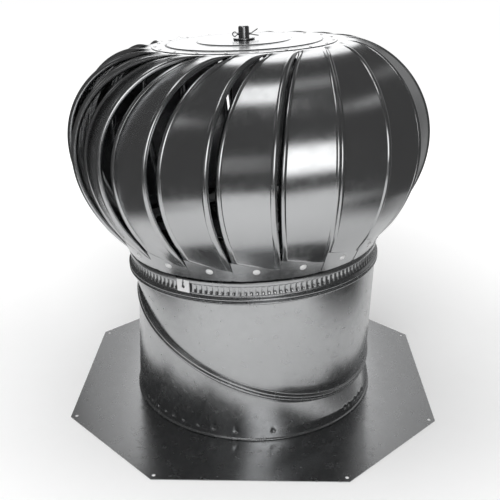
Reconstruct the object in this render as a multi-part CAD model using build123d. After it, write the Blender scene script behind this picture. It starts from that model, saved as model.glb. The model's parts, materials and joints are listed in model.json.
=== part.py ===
from build123d import *
import os
from math import asin, atan2, cos, degrees, hypot, pi, radians, sin, sqrt

# Roof turbine ventilator for a 12 inch throat: flashing base, two-piece swivel collar, spinning vane head.
# Millimetres. +Z is up, the origin is the centre of the flashing's underside.

# ---- driving dimensions -------------------------------------------------------------------------------
sheet = 0.8                 # thickness of every formed sheet
lap_gap = 0.1               # between sheets riveted flat on each other
slip_gap = 0.3              # between a sleeve and what it slides in
running_gap = 0.05          # radial clearance of a bush or race on the shaft

flashing_side = 457.2       # square flashing before its corners are cut
flashing_corner = 117.5     # leg of each cut corner
upstand_height = 13.0       # turned-up neck round the flashing's hole
nail_hole_radius = 2.2
nail_hole_edge = 7.0        # hole centre to the flashing's edge
nail_hole_corner = 2.4      # along the edge, from the hole's centre to the cut corner

collar_radius = 155.2       # outside of the lower collar's round foot
foot_height = 14.0          # round part of the lower collar, joined to the upstand
foot_hem_height = 2.6       # rolled hem where the lower collar meets the flashing
foot_hem_edge = 1.56        # upright part of the hem
foot_hem_reach = 2.2
seam_height = 100.0         # where the swivel seam's centre stands above the flashing
seam_tilt = 22.5            # mitre of the lower collar, half of the steepest pitch
seam_azimuth = -27.0        # side that the seam faces down to
seam_flare = 2.0            # by which both collars are wider at the seam than at the foot
seam_shift = 3.0            # how far the seam's centre stands off the foot's axis, to the low side
turret_lean = 2.5           # mitre difference: the head leans back from the seam's low side
bead_height = 4.4           # each rolled bead of the swivel seam
bead_reach = 4.0
bead_corner = 1.0           # bevel of a bead's outer corners
bead_neck = 1.5             # straight sheet between a bead and the oblique wall
short_wall = 5.9453         # oblique wall between the upper bead and the neck, where it is shortest

neck_flare = 1.0            # by which the upper collar's neck is wider than the foot
neck_length = 12.0          # round neck above the oblique wall
neck_bead_count = 2
neck_bead_pitch = 4.5
neck_bead_start = 1.6       # plain neck under the first bead
neck_bead_reach = 3.2
neck_bead_slope = 1.5       # height of each sloping side of a bead
neck_bead_crest = 1.2       # height of its upright crest

throat_spigot = 11.0        # how far the throat ring reaches down into the neck
crimp_height = 11.0         # crimped band that shows above the neck
shoulder_height = 6.5
shoulder_reach = 1.6
shoulder_corner = 1.0       # height over which the shoulder steps out
shoulder_slope = 1.5        # height over which it falls back to the inner wall
throat_inset = 3.2          # by which the inner wall that carries the braces is narrower than the neck
throat_rise = 20.2          # height of that wall above the shoulder

ring_gap = 1.2              # between the shoulder and the vane ring's bottom edge
ring_reach = 1.2            # by which that edge is wider than the neck
ring_height = 27.0
ring_flare = 14.0           # by which the ring's top edge is wider than its bottom edge

vane_count = 20
edge_offset = 89.0          # from the spin axis to the plane that a vane's outer edge lies in
equator_radius = 216.5
equator_rise = 101.0        # from the vane ring's top edge to the equator
belly_drop = 140.0          # half height of the elliptic arc under the equator
crown_height = 109.0        # from the equator to the underside of the cap disc's rim
crown_reach = 11.3          # how far outside the cap's rim a vane becomes level
vane_end_lap = 7.0          # how far a vane reaches in under the cap
tab_gap = 0.25              # degrees between neighbouring tabs
vane_opening = 1.7          # degrees by which a vane is narrower at the equator
vane_bow = 3.7              # degrees by which its middle bows forward between ring and cap
vane_inset = 14.0           # how far its inner edge stands inside its outer edge at the equator
flange_depth = 5.0          # turned-in flanges that stiffen both long edges
flange_splay = 2.6
flange_root = 0.96          # width of a flange where it leaves the panel
tip_thickness = 1.0
tab_lip = 3.6               # inward lip of a vane's tab, under the panel
flange_end = 0.92           # share of a vane's length at which the flanges have run out
flange_fade = 8             # the higher, the later they start to run out
bow_fullness = 0.6          # the lower, the fuller the bow near a vane's two ends
flat_share = 0.1            # share of a vane's length that lies flat under the cap
vane_stations = 15
front = -90.0               # azimuth of the front, degrees from +X
first_rivet = 2.9           # degrees from the front to the first tab's centre

cap_radius = 109.0
cap_outer_step = 16.0       # from the cap's edge to each of its two pressed steps
cap_inner_step = 52.5
cap_step_rise = 1.4
cap_step_run = 2.5
cap_hole_gap = 1.5          # round the shaft
crown_ring_inset = 1.0      # of the flat ring that clamps the vane ends against the cap
crown_ring_width = 14.0
crown_ring_thickness = 2.0

shaft_radius = 6.35
shaft_tail = 10.0           # how far its lower end reaches below the lower straps
shaft_reach = 19.0          # how far its upper end stands above the cap's rim
shaft_bevel = 1.2
washer_radius = 12.7
washer_thickness = 1.6
pin_radius = 1.3            # cotter pin
pin_eye_radius = 2.6
pin_eye_thickness = 2.08
pin_leg_radius = 1.04
pin_leg_length = 9.0
pin_leg_splays = (-11.2, 32.0)    # degrees

strap_width = 20.0
strap_thickness = 3.0
strap_bevel = 8.0           # cut of the bend between a strap's leg and its arm
brace_rise = 42.0           # top face of the upper straps above the throat's inner wall
brace_lap = 17.0            # how far their legs reach down that wall
lower_brace_rise = 16.0     # top face of the lower straps above the neck's top edge
lower_brace_lap = 7.0
brace_count = 3
brace_azimuth = -141.0      # the lower straps stand half a pitch round from the upper ones
strap_end = 8.5             # inner end of each strap, from the axis
hub_radius = 19.0
hub_height = 16.0
hub_screw_circle = 13.5
hub_screw_radius = 2.0
hub_screw_head = 3.4
hub_screw_head_height = 2.4

tube_radius = 17.5          # bearing tube that hangs from the cap
tube_wall = 2.0
tube_length = 100.0
tube_flange_radius = 34.0
tube_flange_thickness = 2.0
bearing_width = 9.0
bearing_depth = 9.0         # top of the ball bearing below the tube's top
race_thickness = 2.2
shield_thickness = 1.0
shield_gap = 0.05           # between a shield and either race
collar_thickness = 10.0     # set collar under the bearing
collar_outer = 12.0
bush_length = 16.0

rivet_head_radius = 4.3
rivet_crown_radius = 3.225  # flat top of a rivet head
rivet_head_height = 1.5

clip_azimuth = -118.5
clip_width = 16.0
clip_height = 14.4
clip_hole_radius = 1.7      # round end of the keyhole
clip_hole_depth = 4.42      # its centre below the clip's top edge
clip_slot_width = 1.7

# ---- sizes that follow --------------------------------------------------------------------------------
seam_joint = bead_height + slip_gap     # from the seam plane to each bead's far side
seam_radius = collar_radius + seam_flare
neck_radius = collar_radius + neck_flare
upper_mitre = radians(seam_tilt + turret_lean)
high_side = seam_height + seam_radius * sin(upper_mitre) + (seam_joint + bead_neck) * cos(upper_mitre)
neck_start = high_side + short_wall
neck_height = neck_start + neck_length
crimp_low = neck_height + slip_gap
crimp_high = crimp_low + crimp_height
shoulder_top = crimp_high + shoulder_height
throat_wall_radius = neck_radius - throat_inset
throat_top = shoulder_top + throat_rise
rotor_ring_low = shoulder_top + ring_gap
rotor_ring_top = rotor_ring_low + ring_height
rotor_ring_low_radius = neck_radius + ring_reach
rotor_ring_top_radius = rotor_ring_low_radius + ring_flare
equator_height = rotor_ring_top + equator_rise
cap_height = equator_height + crown_height
vane_end_radius = cap_radius - vane_end_lap
crown_ring_radius = cap_radius - crown_ring_inset
brace_height = throat_top + brace_rise
lower_brace_height = neck_height + lower_brace_rise
shaft_bottom = lower_brace_height - shaft_tail
shaft_top = cap_height + shaft_reach
clip_low = crimp_low + slip_gap
clip_top = clip_low + clip_height

# ---- shared frames ------------------------------------------------------------------------------------
def heading(azimuth):
    """Horizontal unit vector at an azimuth in degrees."""
    return Vector(cos(radians(azimuth)), sin(radians(azimuth)), 0)


def tilted(angle, azimuth):
    """Unit vector that leans by angle from +Z towards azimuth."""
    return heading(azimuth) * sin(radians(angle)) + Vector(0, 0, cos(radians(angle)))


seam_centre = heading(seam_azimuth) * seam_shift + Vector(0, 0, seam_height)
seam_normal = tilted(seam_tilt, seam_azimuth)
turret_axis = tilted(turret_lean, seam_azimuth + 180)
turret = Plane(origin=seam_centre - turret_axis * seam_height, x_dir=(1, 0, 0), z_dir=turret_axis)
seam = Plane(origin=seam_centre, x_dir=heading(seam_azimuth), z_dir=seam_normal)


def in_turret(shape):
    """Carries a shape from the upright frame of the head to where the leaning turret holds it."""
    return shape.moved(turret.location)


def sheet_outline(path, thickness=sheet):
    """Closed outline of a bent sheet: path is its outer face, and the sheet lies on its left."""
    inner = []
    last = len(path) - 1
    for i, (x, y) in enumerate(path):
        before = path[max(i - 1, 0)]
        after = path[min(i + 1, last)]
        first = (x - before[0], y - before[1]) if i > 0 else (after[0] - x, after[1] - y)
        second = (after[0] - x, after[1] - y) if i < last else first
        a = atan2(first[1], first[0])
        b = atan2(second[1], second[0])
        turn = (b - a + pi) % (2 * pi) - pi
        middle = a + turn / 2 + pi / 2
        reach = thickness / cos(turn / 2)
        inner.append((x + reach * cos(middle), y + reach * sin(middle)))
    return list(path) + inner[::-1]


def spun(outline, arc=360.0):
    """Solid of revolution about Z from an outline of (radius, height) points."""
    face = make_face(Polyline([(r, 0, z) for r, z in outline], close=True))
    return revolve(face, Axis.Z, arc)


def ring_of_sheet(path):
    return spun(sheet_outline(path))


def disc(radius, low, high, hole=0.0):
    body = Pos(0, 0, low) * Cylinder(radius, high - low, align=(Align.CENTER, Align.CENTER, Align.MIN))
    if hole:
        body -= Pos(0, 0, low) * Cylinder(hole, high - low, align=(Align.CENTER, Align.CENTER, Align.MIN))
    return body


# ---- base ---------------------------------------------------------------------------------------------
half_side = flashing_side / 2
upstand_radius = collar_radius - sheet - slip_gap


def flashing_plate():
    along = half_side - flashing_corner
    corners = [(half_side, along), (along, half_side), (-along, half_side), (-half_side, along)]
    corners += [(-x, -y) for x, y in corners]
    plate = extrude(make_face(Polyline(corners, close=True)), sheet)
    plate -= disc(upstand_radius - sheet / 2, -1, sheet + 1)
    plate += ring_of_sheet([(upstand_radius, sheet / 2), (upstand_radius, upstand_height)])
    inset = half_side - nail_hole_edge
    nail_hole_along = along - nail_hole_corner
    hole = Cylinder(nail_hole_radius, 4 * sheet)
    for x, y in ((inset, nail_hole_along), (nail_hole_along, inset)):
        for side in (-1, 1):
            for end in (-1, 1):
                plate -= Pos(side * x, end * y, 0) * hole
    return plate


def rim_plane(origin, normal):
    """Plane of a round rim whose seam point faces the seam's low side, so that lofts do not twist."""
    return Plane(origin=origin, x_dir=heading(seam_azimuth), z_dir=normal)


def oblique_wall(low_rim, high_rim, low_radius, high_radius):
    """Sheet wall between two round rims that are not parallel."""
    outer = loft([low_rim * Circle(low_radius), high_rim * Circle(high_radius)], ruled=True)
    inner = loft([low_rim * Circle(low_radius - sheet), high_rim * Circle(high_radius - sheet)], ruled=True)
    return outer - inner


foot_base = sheet + lap_gap


def lower_collar():
    low = -seam_joint
    foot_rim = rim_plane((0, 0, foot_height), (0, 0, 1))
    wall = oblique_wall(foot_rim, seam.offset(low - bead_neck), collar_radius, seam_radius)
    foot = ring_of_sheet([(collar_radius + foot_hem_reach, foot_base),
                          (collar_radius + foot_hem_reach, foot_base + foot_hem_edge),
                          (collar_radius, foot_base + foot_hem_height),
                          (collar_radius, foot_height)])
    channel = ring_of_sheet([(seam_radius, low - bead_neck),
                             (seam_radius, low),
                             (seam_radius + bead_reach - bead_corner, low),
                             (seam_radius + bead_reach, low + bead_corner),
                             (seam_radius + bead_reach, -slip_gap),
                             (seam_radius + slip_gap, -slip_gap)])
    return wall + foot + channel.moved(seam.location)


def upper_collar():
    top = seam_joint
    lip = -bead_height / 2 - slip_gap
    lip_radius = seam_radius + bead_reach - sheet - bead_corner
    bead = ring_of_sheet([(lip_radius, lip),
                          (seam_radius, lip),
                          (seam_radius, slip_gap),
                          (seam_radius + bead_reach, slip_gap),
                          (seam_radius + bead_reach, top - bead_corner),
                          (seam_radius + bead_reach - bead_corner, top),
                          (seam_radius, top),
                          (seam_radius, top + bead_neck)])
    neck_rim = rim_plane(turret.origin + turret_axis * neck_start, turret_axis)
    wall = oblique_wall(seam.offset(top + bead_neck), neck_rim, seam_radius, neck_radius)
    path = [(neck_radius, neck_start)]
    for number in range(neck_bead_count):
        low = neck_start + neck_bead_start + number * neck_bead_pitch
        crest = low + neck_bead_slope
        path += [(neck_radius, low), (neck_radius + neck_bead_reach, crest),
                 (neck_radius + neck_bead_reach, crest + neck_bead_crest),
                 (neck_radius, crest + neck_bead_crest + neck_bead_slope)]
    path.append((neck_radius, neck_height))
    return bead.moved(seam.location).fuse(wall, in_turret(ring_of_sheet(path)), glue=True)


parts = {}
parts["flashing_plate"] = flashing_plate()
parts["lower_collar"] = lower_collar()
parts["upper_collar"] = upper_collar()

# ---- throat ring --------------------------------------------------------------------------------------
spigot_radius = neck_radius - sheet - slip_gap
throat_path = [(spigot_radius, neck_height - throat_spigot),
               (spigot_radius, crimp_low),
               (neck_radius, crimp_low),
               (neck_radius, crimp_high),
               (neck_radius + shoulder_reach, crimp_high + shoulder_corner),
               (neck_radius + shoulder_reach, shoulder_top - shoulder_slope),
               (throat_wall_radius, shoulder_top),
               (throat_wall_radius, throat_top)]
parts["throat_ring"] = in_turret(ring_of_sheet(throat_path))

# ---- vanes --------------------------------------------------------------------------------------------
cone_run = rotor_ring_top_radius - rotor_ring_low_radius
cone_rise = rotor_ring_top - rotor_ring_low
cone_slant = hypot(cone_run, cone_rise)
cone_lap = (sheet + lap_gap) * cone_slant / cone_rise   # the tab's outer face stands this far off the ring's
fold_height = rotor_ring_top + sheet * cone_run / cone_slant + lap_gap
fold_top = fold_height + sheet
fold_radius = rotor_ring_top_radius + cone_lap + (fold_top - rotor_ring_top) * cone_run / cone_rise
belly_angle = asin((equator_height - fold_height) / belly_drop)


def reach_at(radius):
    """How far along its own plane a vane's outer edge lies when it is radius from the spin axis."""
    return sqrt(radius ** 2 - edge_offset ** 2)


equator_reach = reach_at(equator_radius)
fold_reach = reach_at(fold_radius)
flat_reach = reach_at(cap_radius + crown_reach)
end_reach = reach_at(vane_end_radius)
belly_depth = (equator_reach - fold_reach) / (1 - cos(belly_angle))
crown_depth = equator_reach - flat_reach
vane_top = cap_height - lap_gap
crown_rise = vane_top - equator_height
tab_sweep = 360.0 / vane_count - tab_gap


def edge_point(s):
    """Point (reach, height) of a vane's outer edge and its meridian slope, s from 0 at the ring to 1."""
    span = belly_angle + pi / 2
    if s > 1 - flat_share:
        t = (s - 1 + flat_share) / flat_share
        return flat_reach + (end_reach - flat_reach) * t, vane_top
    angle = -belly_angle + span * s / (1 - flat_share)
    if angle < 0:
        return equator_reach - belly_depth * (1 - cos(angle)), equator_height + belly_drop * sin(angle)
    return flat_reach + crown_depth * cos(angle), equator_height + crown_rise * sin(angle)


def vane_section(s):
    """Corner points of the vane's cross-section: a flat panel with a flange turned in at each edge."""
    step = 1e-3
    low = edge_point(max(s - step, 0.0))
    high = edge_point(min(s + step, 1.0))
    reach, height = edge_point(s)
    radius = hypot(reach, edge_offset)
    bow = sin(pi * s / flange_end) ** bow_fullness if 0 < s < flange_end else 0.0
    azimuth = degrees(asin(edge_offset / radius)) + vane_bow * bow
    rise = high[1] - low[1]
    run = hypot(high[0], edge_offset) - hypot(low[0], edge_offset)
    length = hypot(rise, run)
    outer = heading(azimuth) * radius + Vector(0, 0, height)
    inset = vane_inset * bow
    left_radius = radius - inset * rise / length
    left_azimuth = azimuth - tab_sweep + vane_opening * bow
    inner = heading(left_azimuth) * left_radius + Vector(0, 0, height + inset * run / length)
    across = (inner - outer).normalized()
    middle = heading((azimuth + left_azimuth) / 2)
    along = middle * (run / length) + Vector(0, 0, rise / length)
    inward = across.cross(along).normalized()
    depth = tip_thickness + (flange_depth - tip_thickness) * max(0.0, 1 - (s / flange_end) ** flange_fade)
    splay = flange_splay * (depth / flange_depth)
    return [outer, outer + inward * depth + across * splay,
            outer + inward * sheet + across * (splay * sheet / depth + flange_root),
            inner + inward * sheet - across * (splay * sheet / depth + flange_root),
            inner + inward * depth - across * splay, inner]


def vane():
    sections = []
    for number in range(vane_stations + 1):
        corners = vane_section(number / vane_stations)
        sections.append(Wire.make_polygon([tuple(p) for p in corners], close=True))
    return Solid.make_loft(sections, ruled=True)


fold_azimuth = degrees(atan2(edge_offset, fold_reach))
tab_azimuth = fold_azimuth - tab_sweep / 2          # middle of the tab, in the vane's own frame
rivet_height = (rotor_ring_low + rotor_ring_top) / 2
rivet_circle = (rotor_ring_low_radius + rotor_ring_top_radius) / 2 + cone_lap


def on_cone(shape, azimuth):
    """Stands a shape built along +Z on the tab's outer face, pointing out of the cone."""
    seat = Plane(origin=heading(azimuth) * rivet_circle + Vector(0, 0, rivet_height),
                 x_dir=heading(azimuth + 90),
                 z_dir=heading(azimuth) * (cone_rise / cone_slant) - Vector(0, 0, cone_run / cone_slant))
    return shape.moved(seat.location)


def vane_tab():
    """The vane's foot: a patch that laps the ring's cone, with a lip that the panel stands on."""
    outline = sheet_outline([(rotor_ring_low_radius + cone_lap, rotor_ring_low),
                             (fold_radius, fold_top), (fold_radius - tab_lip, fold_top)])
    return Rot(0, 0, fold_azimuth - tab_sweep) * spun(outline, tab_sweep)


one_vane = vane() + vane_tab()
pitch = 360.0 / vane_count
first_tab = front + first_rivet
for number in range(vane_count):
    turned = Rot(0, 0, first_tab - tab_azimuth + number * pitch) * one_vane
    parts[f"vane_{number + 1:02d}"] = in_turret(turned)

# ---- vane ring and its rivets -------------------------------------------------------------------------
vane_ring = ring_of_sheet([(rotor_ring_low_radius, rotor_ring_low), (rotor_ring_top_radius, rotor_ring_top)])
rivet = spun([(0, lap_gap), (rivet_head_radius, lap_gap), (rivet_crown_radius, rivet_head_height),
              (0, rivet_head_height)])
ring_rivets = [on_cone(rivet, first_tab + number * pitch) for number in range(vane_count)]
parts["vane_ring"] = in_turret(vane_ring)
parts["ring_rivets"] = in_turret(Compound(ring_rivets))

# ---- cap ----------------------------------------------------------------------------------------------
cap_top = cap_height + sheet
cap_path = [(cap_radius, cap_top)]
for step in (cap_outer_step, cap_inner_step):
    cap_path += [(cap_radius - step, cap_top), (cap_radius - step - cap_step_run, cap_top + cap_step_rise)]
    cap_top += cap_step_rise
cap_path.append((shaft_radius + cap_hole_gap, cap_top))
parts["cap_disc"] = in_turret(ring_of_sheet(cap_path))

crown_top = vane_top - tip_thickness - lap_gap
parts["crown_ring"] = in_turret(disc(crown_ring_radius, crown_top - crown_ring_thickness, crown_top,
                                     crown_ring_radius - crown_ring_width))

tube_top = cap_top - sheet - lap_gap
tube_bottom = tube_top - tube_length
seat_radius = tube_radius - tube_wall
bearing_top = tube_top - bearing_depth
bearing_bottom = bearing_top - bearing_width
parts["bearing_tube"] = in_turret(spun([
    (seat_radius, tube_bottom), (tube_radius, tube_bottom),
    (tube_radius, tube_top - tube_flange_thickness), (tube_flange_radius, tube_top - tube_flange_thickness),
    (tube_flange_radius, tube_top), (seat_radius - race_thickness, tube_top),
    (seat_radius - race_thickness, bearing_top), (seat_radius, bearing_top)]))

# ---- bearings on the shaft ----------------------------------------------------------------------------
bore_radius = shaft_radius + running_gap
inner_race_radius = bore_radius + race_thickness
outer_race_radius = seat_radius - running_gap
outer_race_bore = outer_race_radius - race_thickness
race_top = bearing_top - lap_gap
parts["bearing_inner_race"] = in_turret(disc(inner_race_radius, bearing_bottom, race_top, bore_radius))
parts["bearing_outer_race"] = in_turret(disc(outer_race_radius, bearing_bottom, race_top, outer_race_bore))
shields = [disc(outer_race_bore - shield_gap, low, low + shield_thickness, inner_race_radius + shield_gap)
           for low in (bearing_bottom, race_top - shield_thickness)]
parts["bearing_shields"] = in_turret(Compound(shields))
parts["lower_bush"] = in_turret(disc(outer_race_radius, tube_bottom, tube_bottom + bush_length, bore_radius))
collar_top = bearing_bottom - lap_gap
parts["set_collar"] = in_turret(disc(collar_outer, collar_top - collar_thickness, collar_top, bore_radius))

# ---- fixed shaft and what is on its end -----------------------------------------------------------------
washer_low = cap_top + slip_gap
pin_height = washer_low + washer_thickness + slip_gap + pin_eye_radius + pin_radius
shaft = disc(shaft_radius, shaft_bottom, shaft_top)
shaft = chamfer(shaft.edges().group_by(Axis.Z)[-1], shaft_bevel)
shaft -= Pos(0, 0, pin_height) * Rot(0, 90, 0) * Cylinder(pin_radius + running_gap, 3 * shaft_radius)
parts["centre_shaft"] = in_turret(shaft)
parts["cap_washer"] = in_turret(disc(washer_radius, washer_low, washer_low + washer_thickness, bore_radius))


def cotter_pin():
    """Split pin along X: an eye at the left of the shaft and two splayed legs at its right."""
    reach = shaft_radius + slip_gap + pin_radius
    body = Rot(0, 90, 0) * Cylinder(pin_radius, 2 * reach)
    eye_place = Pos(-reach - pin_eye_radius, 0, 0) * Rot(90, 0, 0)
    eye = eye_place * (Cylinder(pin_eye_radius + pin_radius, pin_eye_thickness)
                       - Cylinder(pin_eye_radius - pin_radius, 2 * pin_eye_thickness))
    leg = Cylinder(pin_leg_radius, pin_leg_length, align=(Align.CENTER, Align.CENTER, Align.MIN))
    legs = [Pos(reach, 0, 0) * Rot(0, 90 - splay, 0) * leg for splay in pin_leg_splays]
    return Pos(0, 0, pin_height) * (body + eye + legs)


parts["cotter_pin"] = in_turret(cotter_pin())

# ---- braces that hold the shaft -------------------------------------------------------------------------
def brace(top, foot, wall_radius):
    """Bent strap along +X: a leg on the wall and an arm that reaches to the hub."""
    wall = sqrt(wall_radius ** 2 - (strap_width / 2) ** 2) - lap_gap
    outline = sheet_outline([(wall, foot), (wall, top - strap_bevel), (wall - strap_bevel, top),
                             (strap_end, top)], strap_thickness)
    face = make_face(Polyline([(x, 0, z) for x, z in outline], close=True))
    strap = extrude(face, strap_width / 2, both=True)
    hole = Cylinder(hub_screw_radius + running_gap, 4 * strap_thickness)
    return strap - Pos(hub_screw_circle, 0, top) * hole


screw_shank = strap_thickness + hub_height / 2
screw = disc(hub_screw_radius, -screw_shank, hub_screw_head_height / 2)
screw += Pos(0, 0, lap_gap) * extrude(RegularPolygon(hub_screw_head, 6), hub_screw_head_height)
screw_hole = Cylinder(hub_screw_radius + running_gap, screw_shank + 2)
hub_screws = []
for level, top, foot, wall_radius, turn in (
        ("upper", brace_height, throat_top - brace_lap, throat_wall_radius - sheet, 0.0),
        ("lower", lower_brace_height, neck_height - lower_brace_lap, spigot_radius - sheet,
         180.0 / brace_count)):
    hub_top = top - strap_thickness - lap_gap
    level_hub = disc(hub_radius, hub_top - hub_height, hub_top, bore_radius)
    for number in range(brace_count):
        azimuth = brace_azimuth + turn + number * 360.0 / brace_count
        parts[f"{level}_brace_{number + 1}"] = in_turret(Rot(0, 0, azimuth) * brace(top, foot, wall_radius))
        spot = Rot(0, 0, azimuth) * Pos(hub_screw_circle, 0, top)
        level_hub -= spot * Pos(0, 0, -screw_shank / 2) * screw_hole
        hub_screws.append(spot * screw)
    parts[f"{level}_hub"] = in_turret(level_hub)
parts["hub_screws"] = in_turret(Compound(hub_screws))

# ---- clip on the throat ring ------------------------------------------------------------------------------
clip_radius = neck_radius + shoulder_reach + lap_gap + sheet
clip_sweep = degrees(clip_width / clip_radius)
clip = Rot(0, 0, clip_azimuth - clip_sweep / 2) * spun(
    sheet_outline([(clip_radius, clip_low), (clip_radius, clip_top)]), clip_sweep)
round_end = Rot(0, 90, 0) * Cylinder(clip_hole_radius, 6 * sheet)
keyhole = Pos(clip_radius, 0, clip_top - clip_hole_depth) * round_end
keyhole += Pos(clip_radius, 0, clip_top) * Box(6 * sheet, clip_slot_width, 2 * clip_hole_depth)
parts["throat_clip"] = in_turret(clip - Rot(0, 0, clip_azimuth) * keyhole)

# ---- one file per piece -----------------------------------------------------------------------------------
os.makedirs("parts", exist_ok=True)
for name, shape in parts.items():
    export_step(shape, f"parts/{name}.step")
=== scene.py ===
"""Roof turbine ventilator: the formed sheets, fittings and finishes that dress its construction model."""
import json
from math import asin, atan2, cos, degrees, hypot, pi, radians, sin, sqrt, tanh, tau

import bmesh
import bpy
from bpy.props import FloatProperty, FloatVectorProperty, IntProperty, PointerProperty
from mathutils import Matrix, Vector


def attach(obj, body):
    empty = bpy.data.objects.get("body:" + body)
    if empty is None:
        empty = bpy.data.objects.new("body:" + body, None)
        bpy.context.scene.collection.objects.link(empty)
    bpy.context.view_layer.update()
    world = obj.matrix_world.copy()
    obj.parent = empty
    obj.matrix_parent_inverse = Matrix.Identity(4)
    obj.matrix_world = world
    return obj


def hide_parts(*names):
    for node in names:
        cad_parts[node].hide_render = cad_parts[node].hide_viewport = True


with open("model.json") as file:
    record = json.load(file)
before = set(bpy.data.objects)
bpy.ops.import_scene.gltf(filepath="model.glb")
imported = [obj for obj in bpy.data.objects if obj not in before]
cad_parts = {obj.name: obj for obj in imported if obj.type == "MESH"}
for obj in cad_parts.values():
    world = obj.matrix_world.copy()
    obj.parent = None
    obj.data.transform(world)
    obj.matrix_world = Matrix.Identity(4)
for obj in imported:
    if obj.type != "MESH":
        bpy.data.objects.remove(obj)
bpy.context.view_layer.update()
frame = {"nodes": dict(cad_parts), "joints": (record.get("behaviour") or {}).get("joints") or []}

bl_info = {
    "name": "Roof Turbine Ventilator",
    "version": (1, 0, 0),
    "blender": (4, 5, 0),
    "location": "View3D > Sidebar > Ventilator",
    "description": "Dresses the construction model of a wind-driven roof ventilator",
    "category": "Object",
}

MM = 0.001

# ---- sizes shared with the construction model ------------
SHEET = 0.8 * MM
LAP_GAP = 0.1 * MM          # between sheets riveted flat on each other
SLIP_GAP = 0.3 * MM         # between a sleeve and what it slides in
RUNNING_GAP = 0.05 * MM

COLLAR_RADIUS = 155.2 * MM
FOOT_HEIGHT = 14.0 * MM
FOOT_BASE = SHEET + LAP_GAP
FOOT_HEM_REACH = 2.2 * MM
SEAM_RADIUS = COLLAR_RADIUS + 2.0 * MM
SEAM_BEAD_HEIGHT = 4.4 * MM
SEAM_BEAD_REACH = 4.0 * MM
SEAM_NECK = 3.0 * MM        # straight sheet between a seam bead and the oblique wall

NECK_RADIUS = COLLAR_RADIUS + 1.0 * MM
NECK_HEIGHT = 190.0 * MM
NECK_START = NECK_HEIGHT - 12.0 * MM
NECK_BEAD_COUNT = 2
NECK_BEAD_PITCH = 4.5 * MM
NECK_BEAD_START = 1.4 * MM
NECK_BEAD_REACH = 3.2 * MM
NECK_BEAD_SLOPE = 1.2 * MM
NECK_BEAD_CREST = 2.0 * MM

THROAT_SPIGOT = 11.0 * MM   # how far the throat ring reaches down into the neck
CRIMP_LOW = NECK_HEIGHT + SLIP_GAP
CRIMP_HIGH = CRIMP_LOW + 11.0 * MM
CRIMP_STEEPNESS = 2.6       # the higher, the squarer the crimps
CRIMP_SEGMENTS = 10         # segments round each crimp
SHOULDER_REACH = 1.6 * MM
SHOULDER_TOP = CRIMP_HIGH + 6.5 * MM
THROAT_WALL_RADIUS = NECK_RADIUS - 3.2 * MM
THROAT_TOP = SHOULDER_TOP + 20.2 * MM
CLIP_WIDTH = 16.0 * MM
CLIP_LOW = CRIMP_LOW + SLIP_GAP
CLIP_TOP = CLIP_LOW + 14.4 * MM
CLIP_AZIMUTH = -118.5

RING_LOW = SHOULDER_TOP + 1.2 * MM
RING_LOW_RADIUS = NECK_RADIUS + 1.2 * MM
RING_TOP = RING_LOW + 27.0 * MM
RING_TOP_RADIUS = RING_LOW_RADIUS + 14.0 * MM
VANE_COUNT = 20
PITCH = 360.0 / VANE_COUNT
EDGE_OFFSET = 89.0 * MM     # from the spin axis to the plane that a vane's leading edge lies in
EQUATOR_RADIUS = 216.5 * MM
EQUATOR_HEIGHT = RING_TOP + 101.0 * MM
BELLY_DROP = 140.0 * MM     # half height of the elliptic arc under the equator
CROWN_REACH = 11.3 * MM     # how far outside the cap's edge a vane becomes level
CAP_RADIUS = 109.0 * MM
CAP_HEIGHT = EQUATOR_HEIGHT + 109.0 * MM
CAP_STEPS = (16.0 * MM, 52.5 * MM)      # from the cap's edge to each pressed step
CAP_STEP_RISE = 1.4 * MM
CAP_TOP = CAP_HEIGHT + SHEET + CAP_STEP_RISE * len(CAP_STEPS)
VANE_END_RADIUS = CAP_RADIUS - 7.0 * MM
FRONT = -90.0               # azimuth of the front, degrees from +X
FIRST_RIVET = FRONT + 2.9
SHAFT_RADIUS = 6.35 * MM
SHAFT_BOTTOM = NECK_HEIGHT + 6.0 * MM
SHAFT_TOP = CAP_HEIGHT + 19.0 * MM
WASHER_RADIUS = 12.7 * MM
WASHER_THICKNESS = 1.6 * MM
PIN_EYE_RADIUS = 2.6 * MM
PIN_LEG_LENGTH = 9.0 * MM
PIN_LEG_SPLAYS = (32.0, -11.0)          # degrees


# ---- sizes and colours that a user would change ----------
def linear(hex_colour):
    """Turns an sRGB hex colour into linear RGB."""
    values = [int(hex_colour[i:i + 2], 16) / 255 for i in (1, 3, 5)]
    return tuple(v / 12.92 if v <= 0.04045 else ((v + 0.055) / 1.055) ** 2.4 for v in values)


def length(name, millimetres, description):
    return FloatProperty(name=name, description=description, default=millimetres * MM, min=0.0,
                         unit="LENGTH", precision=5)


def colour(name, hex_colour, description):
    return FloatVectorProperty(name=name, description=description, default=linear(hex_colour),
                               subtype="COLOR", size=3, min=0.0, max=1.0)


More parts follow.
